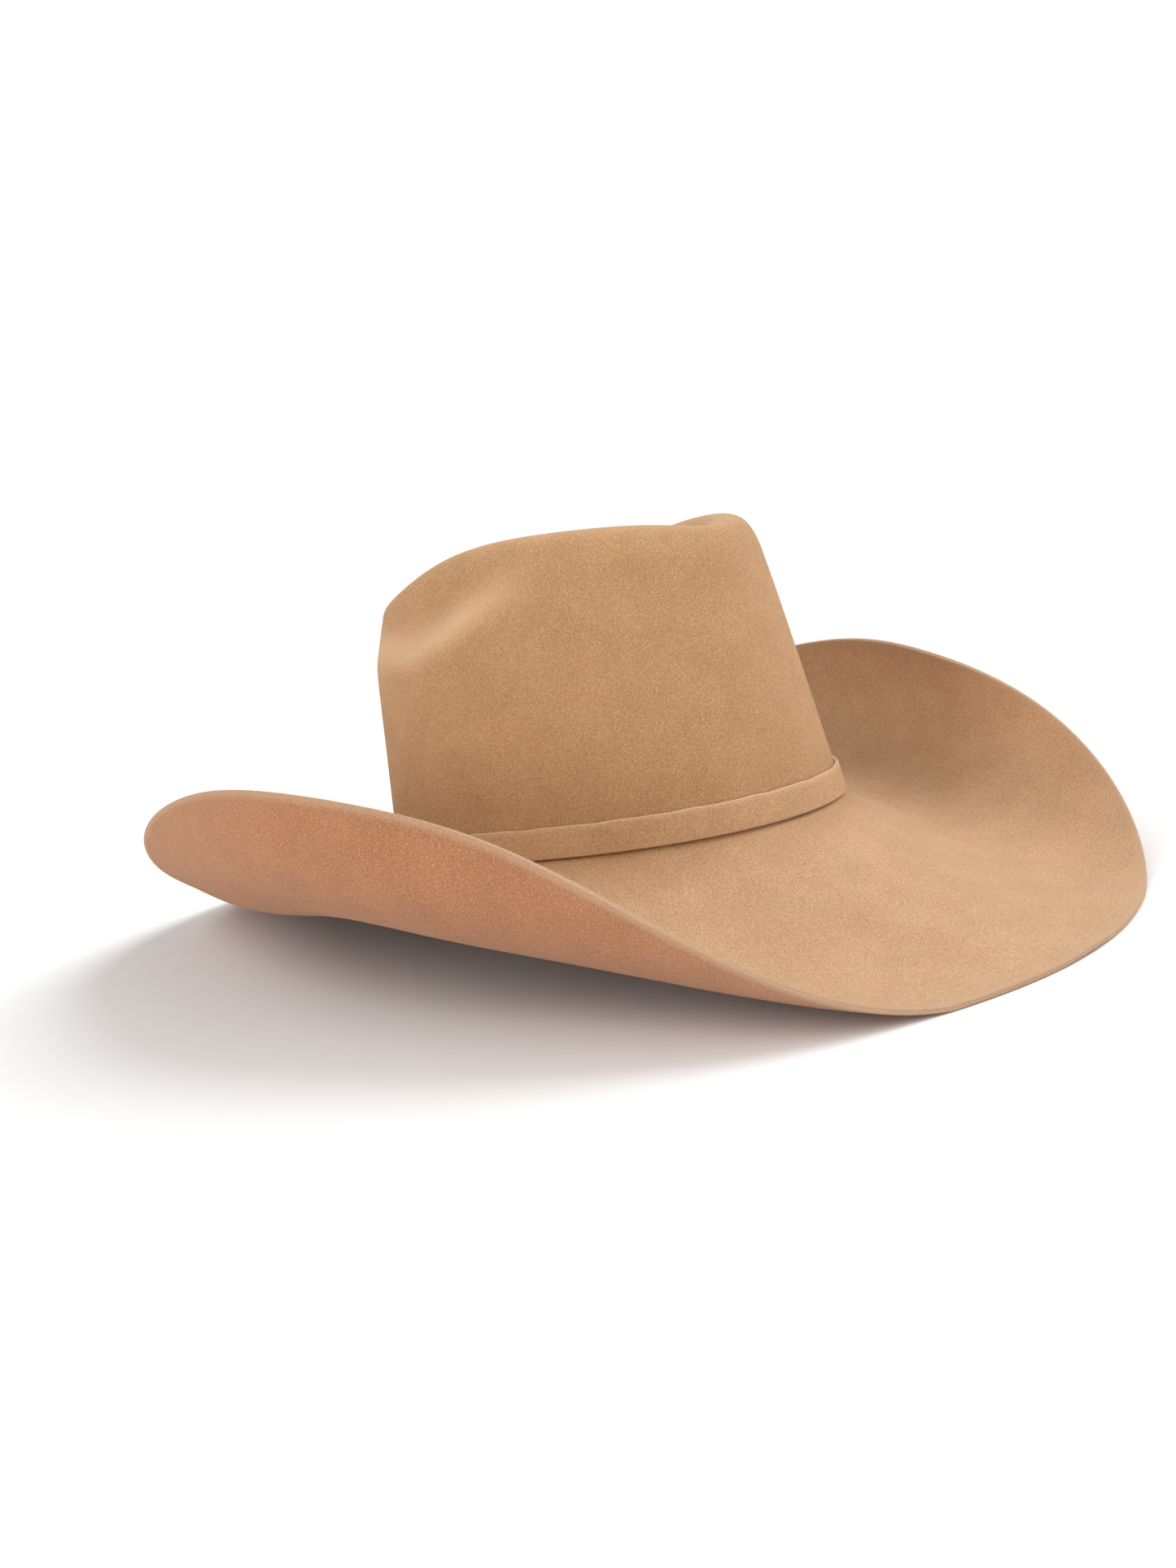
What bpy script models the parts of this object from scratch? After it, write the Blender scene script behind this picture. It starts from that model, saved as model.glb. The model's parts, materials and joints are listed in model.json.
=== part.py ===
"""Felt cowboy hat: one blocked felt body, crown and brim in a piece, and its narrow felt band.

Metres, +Z up, resting on its brim at z = 0 with the origin under the middle of its outline.
The front of the hat faces -Y and the wearer's left side is +X. A bearing is the angle round the
crown seen from above: 0 at the front, 90 on the wearer's right (-X), 180 at the back, and
negative on the wearer's left.
"""
from typing import NamedTuple

import bmesh
import bpy
import numpy as np

# Oval that the crown stands on, measured over the felt at the fold between crown and brim
HEAD_LENGTH = 0.191
HEAD_WIDTH = 0.172
OVAL_FULLNESS = 0.025        # how far the quarters swell past a plain ellipse
OVAL_EGG = 0.05              # how much wider the back is than the front

# Felt body
FELT = 0.0022
CROWN_HEIGHT = 0.1197
CROWN_TILT = 4.9             # degrees that the crown leans back from the floor
BRIM_WIDTH = 0.121
BRIM_SADDLE = 0.0008         # how far the fold rises at the sides and drops front and back
REST_FLAT = 0.0010           # depth of felt pressed flat where the brim rests

# Centre crease, as distances in front of and behind the middle of the oval
CREASE_FRONT = 0.050
CREASE_BACK = 0.052

# Band
BAND_HEIGHT = 0.0115
BAND_FELT = 0.0016
BAND_LIFT = 0.0007           # clear of the brim below it
BAND_GAP = 0.0003            # clear of the crown, and between the lapped ends
BAND_LAP = 0.022             # length of the lap
LAP_BEARING = -100.0         # where the lap's outer end stops
LAP_RAMP = 0.014             # length over which the outer end climbs onto the inner one

# Mesh
COLUMNS = 72
CROWN_ROWS = 22
BRIM_ROWS = 11
SLOPE_STEPS = 120
BAND_COLUMNS = 72
SEAT_SHARE = 0.4             # share of a crown section searched for the band's seat
SEAT_SAMPLES = 60
LEVEL_PASSES = 6
LEAST_HALF_TURN = 0.75       # cosine at which a fold's mitre stops growing
SHARP_ANGLE = 50             # degrees

FELT_COLOUR = (0.52, 0.30, 0.155, 1.0)
BAND_COLOUR = (0.55, 0.32, 0.175, 1.0)
FELT_ROUGHNESS = 0.92


class BrimSection(NamedTuple):
    """One cut through the brim, square to the crown: slopes in degrees, up is positive."""

    bearing: float
    root_right: float        # slope where the brim leaves the crown
    root_left: float
    edge_right: float        # slope at the cut edge
    edge_left: float
    curl: float              # 1 turns evenly, more keeps the turn for the edge
    width: float             # share of BRIM_WIDTH


class CrownSection(NamedTuple):
    """One cut from the fold up to the crease: every length is a share of CROWN_HEIGHT."""

    bearing: float
    shoulder_in: float       # how far the wall has leaned in at the shoulder
    shoulder: float          # height of the shoulder
    dent: float              # how far the felt steps in above the shoulder
    ridge_in: float          # how far in the top ridge lies
    ridge: float             # height of the ridge
    rounding: float          # reach of the rounding over the ridge
    valley: float            # height of the crease's bottom


BRIM_SECTIONS = (
    BrimSection(0, root_right=-28, root_left=-28, edge_right=0, edge_left=0, curl=2.0, width=1.0),
    BrimSection(30, root_right=-36, root_left=-35, edge_right=17, edge_left=23, curl=1.7, width=1.015),
    BrimSection(60, root_right=-34, root_left=-30, edge_right=98, edge_left=109, curl=1.6, width=1.04),
    BrimSection(90, root_right=-14, root_left=-9, edge_right=112, edge_left=112, curl=1.9, width=1.04),
    BrimSection(120, root_right=-22, root_left=-18, edge_right=103, edge_left=91, curl=1.6, width=1.0),
    BrimSection(150, root_right=-27, root_left=-26, edge_right=28, edge_left=21, curl=1.3, width=0.945),
    BrimSection(180, root_right=-26, root_left=-26, edge_right=4, edge_left=4, curl=1.3, width=0.92),
)

CROWN_SECTIONS = (
    CrownSection(0, shoulder_in=0.13, shoulder=0.85, dent=0, ridge_in=0.205, ridge=0.955,
                 rounding=0.12, valley=0.84),
    CrownSection(30, shoulder_in=0.143, shoulder=0.85, dent=0, ridge_in=0.25, ridge=0.978,
                 rounding=0.12, valley=0.82),
    CrownSection(60, shoulder_in=0.14, shoulder=0.87, dent=0.005, ridge_in=0.25, ridge=0.997,
                 rounding=0.09, valley=0.79),
    CrownSection(90, shoulder_in=0.085, shoulder=0.77, dent=0.045, ridge_in=0.195, ridge=0.99,
                 rounding=0.08, valley=0.76),
    CrownSection(120, shoulder_in=0.056, shoulder=0.695, dent=0.065, ridge_in=0.16, ridge=0.91,
                 rounding=0.08, valley=0.74),
    CrownSection(150, shoulder_in=0.045, shoulder=0.70, dent=0, ridge_in=0.175, ridge=0.865,
                 rounding=0.12, valley=0.73),
    CrownSection(180, shoulder_in=0.045, shoulder=0.68, dent=0, ridge_in=0.23, ridge=0.835,
                 rounding=0.13, valley=0.73),
)

# Points that guide every crown section, as pairs of an inward and an upward share
WALL_GUIDE = ((0.0, 0.0), (0.06, 0.08), (0.28, 0.30), (0.60, 0.62), (0.90, 0.90))   # of the shoulder
DENT_GUIDE = ((0.0, 0.14), (0.20, 0.62))                                         # from dent to ridge
RIDGE_GUIDE = ((-0.45, -0.05), (0.35, 0.0), (1.1, -0.6))                         # of the rounding
BOWL_GUIDE = ((0.50, 0.45), (0.84, 0.0), (1.0, 0.0))                             # from ridge to valley


def along(sections, column, bearing):
    """Read a column at any bearing through the cosine series that meets every row."""
    rows = np.radians([row.bearing for row in sections])
    orders = np.arange(len(sections))
    weights = np.linalg.solve(np.cos(np.outer(rows, orders)), [getattr(row, column) for row in sections])
    return np.cos(np.multiply.outer(np.abs(bearing), orders)) @ weights


def brim_slope(end, bearing):
    """Slope in radians at the 'root' or the 'edge' of the brim, each side by its own column."""
    right = along(BRIM_SECTIONS, end + "_right", bearing)
    left = along(BRIM_SECTIONS, end + "_left", bearing)
    return np.radians(np.where(bearing >= 0, right, left))


def oval(bearing):
    """Plan points of the fold between crown and brim."""
    swell = 1 + OVAL_FULLNESS * np.sin(2 * bearing) ** 2
    across = -HEAD_WIDTH / 2 * np.sin(bearing) * swell
    length = -HEAD_LENGTH / 2 * np.cos(bearing) * swell
    across = across * (1 + OVAL_EGG * length / (HEAD_LENGTH / 2))
    return np.stack([across, length], -1)


def oval_outward(bearing):
    """Unit plan directions pointing away from the oval."""
    step = 1e-4
    run = oval(bearing + step) - oval(bearing - step)
    outward = np.stack([run[:, 1], -run[:, 0]], -1)
    outward *= np.sign(np.sum(outward * oval(bearing), -1, keepdims=True))
    return outward / np.linalg.norm(outward, axis=-1, keepdims=True)


def smooth_through(controls, samples):
    """Points on the clamped cubic B-spline of the controls, which lie along the first axis."""
    spans = len(controls) - 3
    knots = np.concatenate([np.zeros(3), np.linspace(0, 1, spans + 1), np.ones(3)])
    at = np.minimum(samples, 1 - 1e-9)
    basis = [np.where((low <= at) & (at < high), 1.0, 0.0) for low, high in zip(knots[:-1], knots[1:])]
    for degree in (1, 2, 3):
        raised = []
        for i in range(len(basis) - 1):
            rise, fall = knots[i + degree] - knots[i], knots[i + degree + 1] - knots[i + 1]
            left = (at - knots[i]) / rise * basis[i] if rise > 0 else 0 * at
            right = (knots[i + degree + 1] - at) / fall * basis[i + 1] if fall > 0 else 0 * at
            raised.append(left + right)
        basis = raised
    return np.tensordot(np.array(basis), controls, axes=(0, 0))


def lean_back(points):
    """Tip points of the upright crown back by CROWN_TILT, about the middle of the oval."""
    turn = np.radians(CROWN_TILT)
    x, y, z = points[..., 0], points[..., 1], points[..., 2]
    return np.stack([x, y * np.cos(turn) + z * np.sin(turn), z * np.cos(turn) - y * np.sin(turn)], -1)


def fold_drop(bearing):
    """How far the saddle lowers the fold at each bearing."""
    return BRIM_SADDLE * np.cos(2 * bearing)


def crown_points(bearing, samples):
    """Outer surface of the crown: one section per bearing, from the fold to the crease."""
    foot = oval(bearing)
    middle, half = (CREASE_BACK - CREASE_FRONT) / 2, (CREASE_BACK + CREASE_FRONT) / 2
    crease = np.stack([0 * bearing, middle - half * np.cos(bearing)], -1)
    reach = np.linalg.norm(crease - foot, axis=-1)

    share = {name: along(CROWN_SECTIONS, name, bearing) * CROWN_HEIGHT for name in CrownSection._fields[1:]}
    wall, shoulder, dent = share["shoulder_in"], share["shoulder"], share["dent"]
    ridge_in, ridge, valley = share["ridge_in"], share["ridge"], share["valley"]
    rounding = share["rounding"]
    step = ridge_in - wall - dent
    profile = [(inward * wall, upward * shoulder) for inward, upward in WALL_GUIDE]
    profile.append((wall, shoulder))
    for inward, upward in DENT_GUIDE:
        profile.append((wall + dent + inward * step, shoulder + upward * (ridge - shoulder)))
    for inward, upward in RIDGE_GUIDE:
        profile.append((ridge_in + inward * rounding, ridge + upward * rounding))
    for inward, upward in BOWL_GUIDE:
        profile.append((ridge_in + inward * (reach - ridge_in), valley + upward * (ridge - valley)))
    controls = []
    for inward, height in profile:
        plan = foot + (crease - foot) * (inward / reach)[:, None]
        controls.append(np.concatenate([plan, height[:, None]], -1))
    points = lean_back(smooth_through(np.array(controls), samples))
    points[..., 2] -= fold_drop(bearing)
    return points


def brim_points(bearing, samples):
    """Upper surface of the brim: one section per bearing, from the fold to the cut edge."""
    foot = lean_back(np.concatenate([oval(bearing), 0 * bearing[:, None]], -1))
    foot[:, 2] -= fold_drop(bearing)
    width = along(BRIM_SECTIONS, "width", bearing) * BRIM_WIDTH
    curl = along(BRIM_SECTIONS, "curl", bearing)
    root, edge = brim_slope("root", bearing), brim_slope("edge", bearing)

    steps = np.linspace(0, 1, SLOPE_STEPS + 1)
    middles = (steps[1:] + steps[:-1]) / 2
    slope = root[:, None] + (edge - root)[:, None] * middles ** curl[:, None]
    stride = (width / SLOPE_STEPS)[:, None]
    reach = np.pad(np.cumsum(np.cos(slope) * stride, 1), ((0, 0), (1, 0)))
    climb = np.pad(np.cumsum(np.sin(slope) * stride, 1), ((0, 0), (1, 0)))
    out = oval_outward(bearing)

    rows = []
    for sample in samples:
        distance = np.array([np.interp(sample, steps, line) for line in reach])
        rise = np.array([np.interp(sample, steps, line) for line in climb])
        rows.append(foot + np.concatenate([out * distance[:, None], rise[:, None]], -1))
    return np.array(rows)


def felt_sheet():
    """Upper side of the whole body as rows by columns of points: the crease first, the edge last."""
    bearing = np.linspace(-np.pi, np.pi, COLUMNS, endpoint=False)
    crown = crown_points(bearing, np.linspace(1, 0, CROWN_ROWS + 1))
    brim = brim_points(bearing, np.linspace(0, 1, BRIM_ROWS + 1)[1:])
    return np.concatenate([crown, brim])


def unit(vectors):
    """The vectors at a length of 1."""
    return vectors / np.linalg.norm(vectors, axis=-1, keepdims=True)


def under_side(sheet):
    """The sheet's other face, FELT away along the bisected normals, so the fold keeps its wall."""
    around = np.roll(sheet, -1, axis=1) - np.roll(sheet, 1, axis=1)
    outward = sheet[1:] - sheet[:-1]
    above = unit(np.cross(around, np.concatenate([outward, outward[-1:]])))
    below = unit(np.cross(around, np.concatenate([outward[:1], outward])))
    mirror = (-np.arange(COLUMNS)) % COLUMNS
    above[0] = unit(above[0] + above[0][mirror])
    below[0] = above[0]
    normal = unit(above + below)
    half_turn = np.maximum(np.sum(normal * above, -1, keepdims=True), LEAST_HALF_TURN)
    return sheet - normal * FELT / half_turn


def upright(normal):
    """Rotation that brings a unit normal upright by the shortest way."""
    x, y, z = normal
    return np.array([[1 - x * x / (1 + z), -x * y / (1 + z), -x],
                     [-x * y / (1 + z), 1 - y * y / (1 + z), -y],
                     [x, y, z]])


def level_turn(lower):
    """Rotation that levels the hat on its three feet: the brim's lowest points at the front right,
    the front left and the back."""
    points = lower.reshape(-1, 3)
    x, y = points[:, 0], points[:, 1]
    turn = np.eye(3)
    for _ in range(LEVEL_PASSES):
        turned = points @ turn.T
        feet = []
        for place in ((y < 0) & (x < 0), (y < 0) & (x > 0), y > 0):
            feet.append(turned[place][turned[place][:, 2].argmin()])
        normal = unit(np.cross(feet[1] - feet[0], feet[2] - feet[0]))
        turn = upright(normal * np.sign(normal[2])) @ turn
    return turn


def press_flat(upper, lower, floor):
    """Push the felt that would pass through the floor up onto it, both faces by the same amount."""
    lift = np.maximum(floor - lower[..., 2], 0)[..., None] * [0, 0, 1]
    return upper + lift, lower + lift


def face_out(mesh):
    """Point every face away from the solid, then shade it smooth."""
    work = bmesh.new()
    work.from_mesh(mesh)
    bmesh.ops.recalc_face_normals(work, faces=work.faces)
    work.to_mesh(mesh)
    work.free()
    mesh.shade_smooth()
    mesh.set_sharp_from_angle(angle=np.radians(SHARP_ANGLE))


def felt(name, colour):
    """Matt felt of one colour."""
    material = bpy.data.materials.new(name)
    material.use_nodes = True
    shader = material.node_tree.nodes["Principled BSDF"]
    shader.inputs["Base Color"].default_value = colour
    shader.inputs["Roughness"].default_value = FELT_ROUGHNESS
    shader.inputs["Metallic"].default_value = 0.0
    return material


def add_solid(name, points, faces, material):
    """One closed mesh as a named object."""
    mesh = bpy.data.meshes.new(name)
    mesh.from_pydata([tuple(point) for point in points], [], faces)
    face_out(mesh)
    mesh.materials.append(material)
    solid = bpy.data.objects.new(name, mesh)
    bpy.context.collection.objects.link(solid)
    return solid


def ring_quads(rows):
    """Quads between neighbouring rows of point numbers, each row closed round the hat."""
    quads = []
    for inner, outer in zip(rows[:-1], rows[1:]):
        for i in range(len(inner)):
            j = (i + 1) % len(inner)
            quads.append((inner[i], inner[j], outer[j], outer[i]))
    return quads


def crown_and_brim(upper, lower):
    """The felt body: both faces, joined along the crease's two ends and round the cut edge."""
    points, faces, edges = [], [], []
    for side in (upper, lower):
        # The two halves of the crown share the points of the crease, where bearing and -bearing meet
        crease = list(range(len(points), len(points) + COLUMNS // 2 + 1))
        points.extend(side[0][:COLUMNS // 2 + 1])
        rows = [[crease[min(i, COLUMNS - i)] for i in range(COLUMNS)]]
        for line in side[1:]:
            rows.append(list(range(len(points), len(points) + COLUMNS)))
            points.extend(line)
        faces.extend(ring_quads(rows))
        edges.append(rows[-1])
    faces.extend(ring_quads(edges))
    return add_solid("crown_and_brim", points, faces, felt("body_felt", FELT_COLOUR))


def hat_band(turn, centre):
    """The band: one strip round the foot of the crown whose outer end laps over its inner one."""
    circuit = oval(np.linspace(0, 2 * np.pi, 2 * BAND_COLUMNS + 1))
    girth = np.sum(np.linalg.norm(np.diff(circuit, axis=0), axis=-1))
    lap = BAND_LAP / girth * 2 * np.pi
    ramp = LAP_RAMP / girth * 2 * np.pi
    end = np.radians(LAP_BEARING)
    bearing = np.linspace(end - 2 * np.pi - lap, end, BAND_COLUMNS)
    climb = np.clip((bearing - (end - lap - ramp)) / ramp, 0, 1)
    climb = climb * climb * (3 - 2 * climb)
    inner = BAND_GAP + climb * (BAND_FELT + BAND_GAP)
    wrapped = (bearing + np.pi) % (2 * np.pi) - np.pi

    corners = []
    for height, offset in ((0, 0), (1, 0), (1, 1), (0, 1)):
        level = BAND_LIFT + height * BAND_HEIGHT
        wall = band_seat(wrapped, level)
        out = lean_back(np.concatenate([oval_outward(wrapped), 0 * wrapped[:, None]], -1))
        corners.append(wall + out * (inner + offset * BAND_FELT)[:, None])
    corners = np.array(corners) @ turn.T - centre

    points = np.moveaxis(corners, 0, 1).reshape(-1, 3)
    faces = [(0, 1, 2, 3), tuple(len(points) - 4 + k for k in (3, 2, 1, 0))]
    for i in range(BAND_COLUMNS - 1):
        for k in range(4):
            n = (k + 1) % 4
            faces.append((4 * i + k, 4 * i + n, 4 * i + 4 + n, 4 * i + 4 + k))
    return add_solid("hat_band", points, faces, felt("band_felt", BAND_COLOUR))


def band_seat(bearing, level):
    """Points on the crown's outer wall at a height measured up the leaning crown from the fold."""
    wall = crown_points(bearing, np.linspace(0, SEAT_SHARE, SEAT_SAMPLES))
    heights = np.sum((wall - wall[0]) * lean_back(np.array([0.0, 0.0, 1.0])), -1)
    seat = []
    for i in range(len(bearing)):
        seat.append([np.interp(level, heights[:, i], wall[:, i, axis]) for axis in range(3)])
    return np.array(seat)


def main():
    for leftover in list(bpy.data.objects):
        bpy.data.objects.remove(leftover)
    upper = felt_sheet()
    lower = under_side(upper)
    turn = level_turn(lower)
    upper, lower = upper @ turn.T, lower @ turn.T
    floor = lower[..., 2].min() + REST_FLAT
    upper, lower = press_flat(upper, lower, floor)
    both = np.concatenate([upper, lower]).reshape(-1, 3)
    centre = (both.min(0) + both.max(0)) / 2
    centre[2] = floor
    crown_and_brim(upper - centre, lower - centre)
    hat_band(turn, centre)


main()
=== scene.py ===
"""Felt cowboy hat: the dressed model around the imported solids.

Metres, +Z up, the front of the hat towards -Y and the wearer's left towards +X. A bearing is the
angle round the crown seen from above: 0 at the front, 90 on the wearer's right, 180 at the back,
negative on the wearer's left.
"""
import json
import logging
import math
from dataclasses import dataclass, field
from enum import Enum
from typing import NamedTuple, Sequence

import bpy
import numpy as np
from mathutils import Matrix, Vector

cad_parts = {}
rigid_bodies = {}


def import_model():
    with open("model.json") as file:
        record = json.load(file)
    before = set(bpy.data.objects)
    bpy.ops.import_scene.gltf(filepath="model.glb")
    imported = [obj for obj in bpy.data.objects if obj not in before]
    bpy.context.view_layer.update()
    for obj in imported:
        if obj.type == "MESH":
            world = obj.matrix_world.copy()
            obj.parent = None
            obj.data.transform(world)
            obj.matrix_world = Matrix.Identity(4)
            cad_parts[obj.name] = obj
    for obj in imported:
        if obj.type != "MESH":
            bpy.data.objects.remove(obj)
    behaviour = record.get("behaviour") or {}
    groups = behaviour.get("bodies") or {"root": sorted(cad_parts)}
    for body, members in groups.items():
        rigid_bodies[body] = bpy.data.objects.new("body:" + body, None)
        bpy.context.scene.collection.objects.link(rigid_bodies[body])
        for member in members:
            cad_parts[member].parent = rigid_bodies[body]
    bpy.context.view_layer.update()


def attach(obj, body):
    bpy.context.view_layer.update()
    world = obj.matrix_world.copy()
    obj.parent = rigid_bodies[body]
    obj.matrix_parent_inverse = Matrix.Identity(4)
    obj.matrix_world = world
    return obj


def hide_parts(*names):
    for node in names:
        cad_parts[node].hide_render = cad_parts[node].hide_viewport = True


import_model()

logging.basicConfig(level=logging.INFO, format="%(name)s: %(message)s")
LOG = logging.getLogger("felt_hat")

Array = np.ndarray
Colour = tuple[float, float, float]
Fades = tuple[float, float, float, float]


class Mask(Enum):
    """Point attributes that the felt finishes read."""

    RIM = "rim"              # 1 on a cut edge, fading over the felt beside it
    UNDER_SHADE = "under_shade"          # 1 on the underside and inside, painted darker and warmer there as shade and warm bounce light
    SHELF_HIGHLIGHT_AND_RUB = "ridge"          # 1 along the shelves beside the crown as a painted highlight, weaker on its ridge as paler rubbed nap
    BRIM_HIGHLIGHT = "brim"            # 1 on the brim and its edge, whose upper face is painted paler as a highlight
    FOOT_SHADE = "foot"            # 1 at the foot of the crown, where the band sits; painted shade darkens it there


class BrimSection(NamedTuple):
    """One cut through the brim, square to the crown: slopes in degrees, up is positive."""

    bearing: float
    root_right: float
    root_left: float
    edge_right: float
    edge_left: float
    curl: float
    width: float


class CrownSection(NamedTuple):
    """One cut from the fold up to the crease: every length is a share of the crown's height."""

    bearing: float
    shoulder_in: float
    shoulder: float
    dent: float
    ridge_in: float
    ridge: float
    rounding: float
    valley: float


BRIM_SECTIONS = (
    BrimSection(0, root_right=-28, root_left=-28, edge_right=0, edge_left=0, curl=2.0, width=1.0),
    BrimSection(30, root_right=-36, root_left=-35, edge_right=17, edge_left=23, curl=1.7, width=1.015),
    BrimSection(60, root_right=-34, root_left=-30, edge_right=98, edge_left=109, curl=1.6, width=1.04),
    BrimSection(90, root_right=-14, root_left=-9, edge_right=112, edge_left=112, curl=1.9, width=1.04),
    BrimSection(120, root_right=-22, root_left=-18, edge_right=103, edge_left=91, curl=1.6, width=1.0),
    BrimSection(150, root_right=-27, root_left=-26, edge_right=28, edge_left=21, curl=1.3, width=0.945),
    BrimSection(180, root_right=-26, root_left=-26, edge_right=4, edge_left=4, curl=1.3, width=0.92),
)

CROWN_SECTIONS = (
    CrownSection(0, shoulder_in=0.13, shoulder=0.85, dent=0, ridge_in=0.205, ridge=0.955,
                 rounding=0.12, valley=0.84),
    CrownSection(30, shoulder_in=0.143, shoulder=0.85, dent=0, ridge_in=0.25, ridge=0.978,
                 rounding=0.12, valley=0.82),
    CrownSection(60, shoulder_in=0.14, shoulder=0.87, dent=0.005, ridge_in=0.25, ridge=0.997,
                 rounding=0.09, valley=0.79),
    CrownSection(90, shoulder_in=0.085, shoulder=0.77, dent=0.045, ridge_in=0.195, ridge=0.99,
                 rounding=0.08, valley=0.76),
    CrownSection(120, shoulder_in=0.056, shoulder=0.695, dent=0.065, ridge_in=0.16, ridge=0.91,
                 rounding=0.08, valley=0.74),
    CrownSection(150, shoulder_in=0.045, shoulder=0.70, dent=0, ridge_in=0.175, ridge=0.865,
                 rounding=0.12, valley=0.73),
    CrownSection(180, shoulder_in=0.045, shoulder=0.68, dent=0, ridge_in=0.23, ridge=0.835,
                 rounding=0.13, valley=0.73),
)

# Points that guide every crown section, as pairs of an inward and an upward share
WALL_GUIDE = ((0.0, 0.0), (0.06, 0.08), (0.28, 0.30), (0.60, 0.62), (0.90, 0.90))   # of the shoulder
DENT_GUIDE = ((0.0, 0.14), (0.20, 0.62))                                         # from dent to ridge
RIDGE_GUIDE = ((-0.45, -0.05), (0.35, 0.0), (1.1, -0.6))                         # of the rounding
BOWL_GUIDE = ((0.50, 0.45), (0.84, 0.0), (1.0, 0.0))                             # from ridge to valley


def unit(vectors: Array) -> Array:
    """The vectors at a length of 1."""
    return vectors / np.linalg.norm(vectors, axis=-1, keepdims=True)


def smoothstep(low: float, high: float, value: Array) -> Array:
    """0 below low, 1 above high and an even S between them.

    Args:
        low: where the S starts.
        high: where it ends.
        value: what is read.

    Returns:
        The S at each value.
    """
    share = np.clip((value - low) / (high - low), 0.0, 1.0)
    return share * share * (3.0 - 2.0 * share)


def plateau(fades: Sequence[float], value: Array) -> Array:
    """1 between the two middle fades and 0 outside the outer ones, with an even S between them."""
    start, full, last, end = fades
    return smoothstep(start, full, value) * (1 - smoothstep(last, end, value))


def along(sections: Sequence[NamedTuple], column: str, bearing: Array) -> Array:
    """Read a table's column at any bearing through the cosine series that meets every row.

    Args:
        sections: rows at even bearings from 0 to 180 degrees.
        column: the column's name.
        bearing: angles in radians.

    Returns:
        The column's value at each bearing.
    """
    rows = np.radians([row.bearing for row in sections])
    orders = np.arange(len(sections))
    values = [getattr(row, column) for row in sections]
    weights = np.linalg.solve(np.cos(np.outer(rows, orders)), values)
    return np.cos(np.multiply.outer(np.abs(bearing), orders)) @ weights


def smooth_through(controls: Array, samples: Array) -> Array:
    """Points on the clamped cubic B-spline of some controls.

    Args:
        controls: guide points along the first axis.
        samples: places along the curve, 0 to 1.

    Returns:
        One point per sample, along the first axis.
    """
    spans = len(controls) - 3
    knots = np.concatenate([np.zeros(3), np.linspace(0, 1, spans + 1), np.ones(3)])
    at = np.minimum(samples, 1 - 1e-9)
    basis = [np.where((low <= at) & (at < high), 1.0, 0.0) for low, high in zip(knots[:-1], knots[1:])]
    for degree in (1, 2, 3):
        raised = []
        for i in range(len(basis) - 1):
            rise, fall = knots[i + degree] - knots[i], knots[i + degree + 1] - knots[i + 1]
            left = (at - knots[i]) / rise * basis[i] if rise > 0 else 0 * at
            right = (knots[i + degree + 1] - at) / fall * basis[i + 1] if fall > 0 else 0 * at
            raised.append(left + right)
        basis = raised
    return np.tensordot(np.array(basis), controls, axes=(0, 0))


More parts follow.
